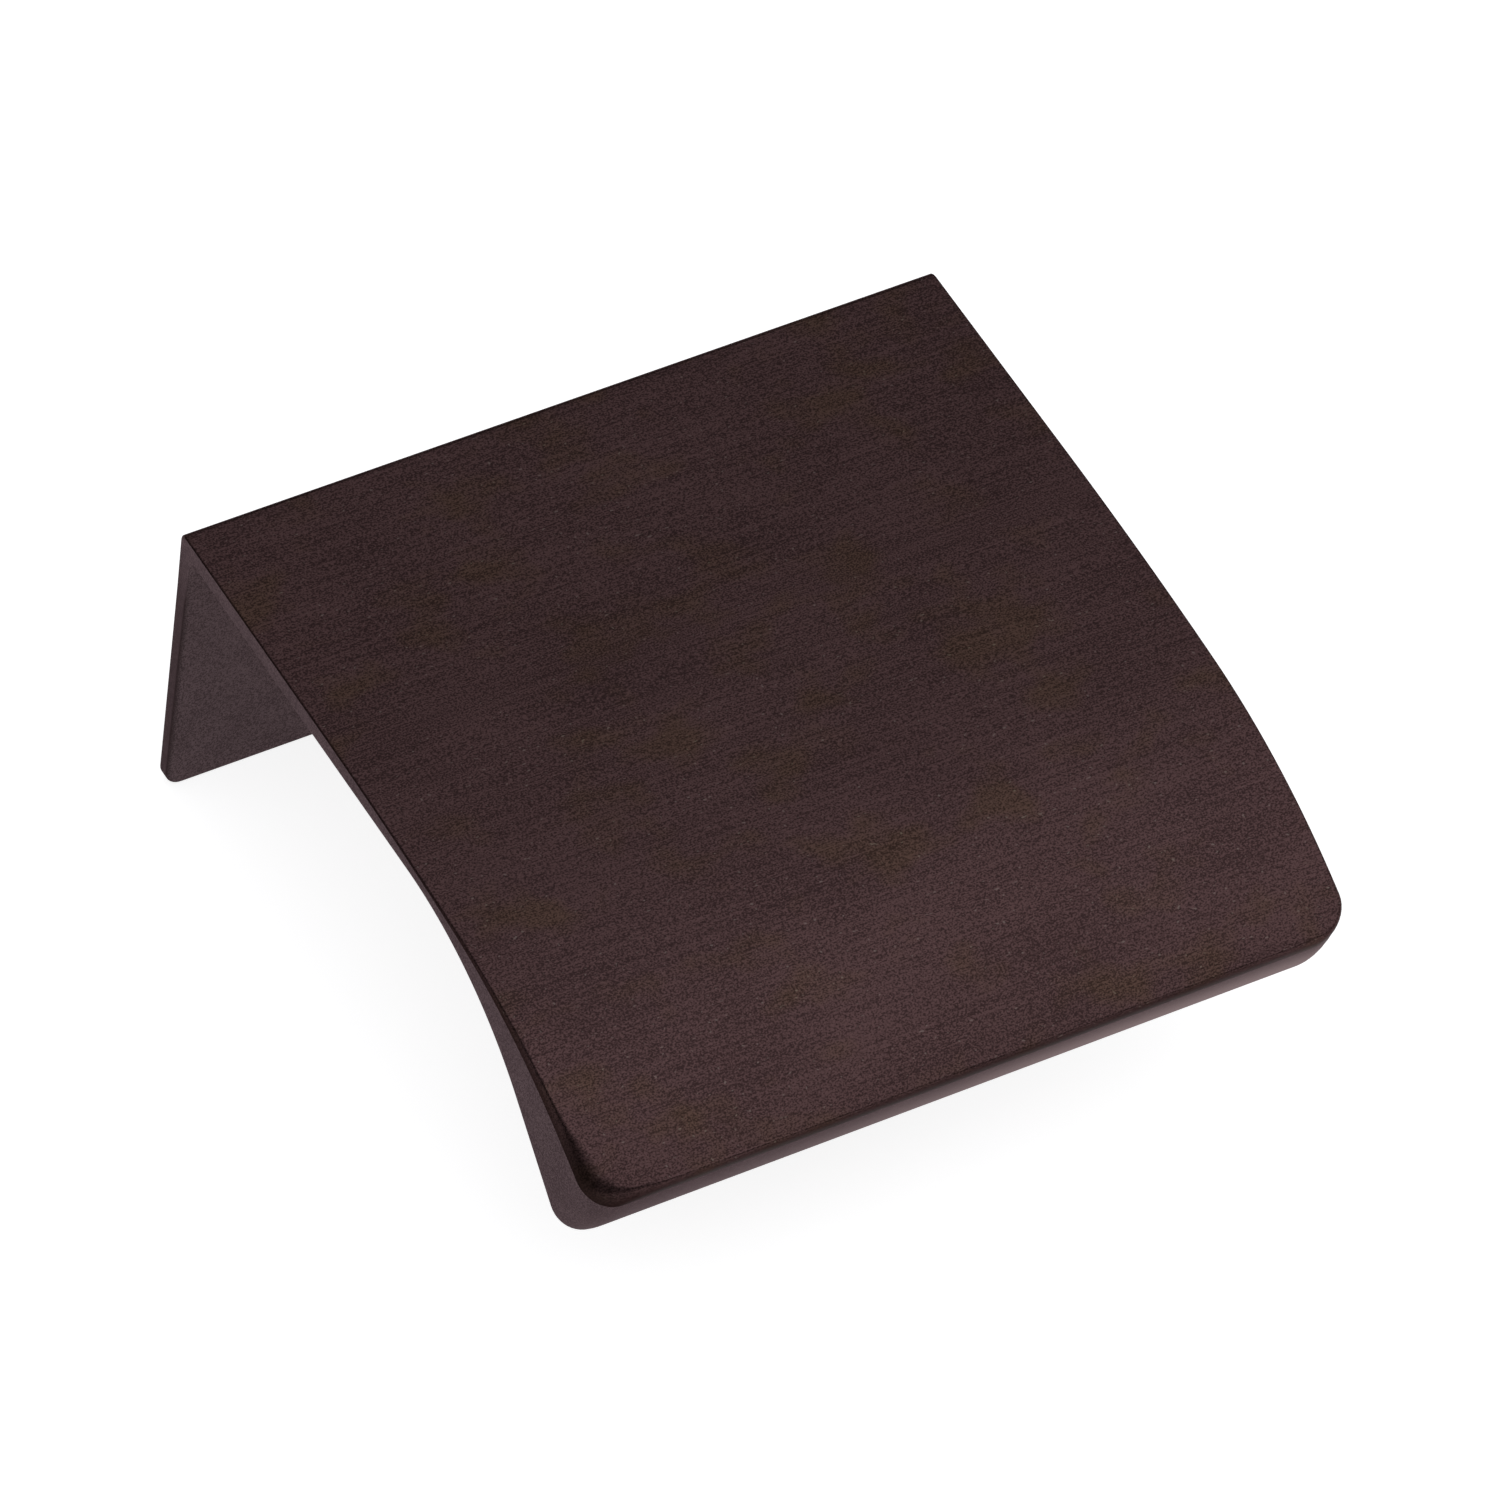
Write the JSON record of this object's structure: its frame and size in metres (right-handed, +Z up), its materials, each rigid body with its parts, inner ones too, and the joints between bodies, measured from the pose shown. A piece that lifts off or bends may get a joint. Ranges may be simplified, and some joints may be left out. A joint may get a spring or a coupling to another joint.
{
  "type": "edge pull",
  "caption": "Short edge pull: a thin plate lies on a door's edge, a screwed flange sits behind it, and the front rolls down into a thick finger lip.",
  "frame": {"origin": "midway between the two screw holes, on the flange's seating face that lies against the door's back", "axes": "+X along the pull and the door's edge, -Y out of the door towards the hand, +Z up out of the door's top edge"},
  "size_m": [0.04, 0.0399, 0.0167],
  "materials": {
    "bronze_finish": "dark oil-rubbed bronze over a zinc casting, brushed along the length on top and matte on the ends and inside"
  },
  "bodies": {
    "root": {"edge_pull": "bronze_finish"}
  },
  "joints": []
}
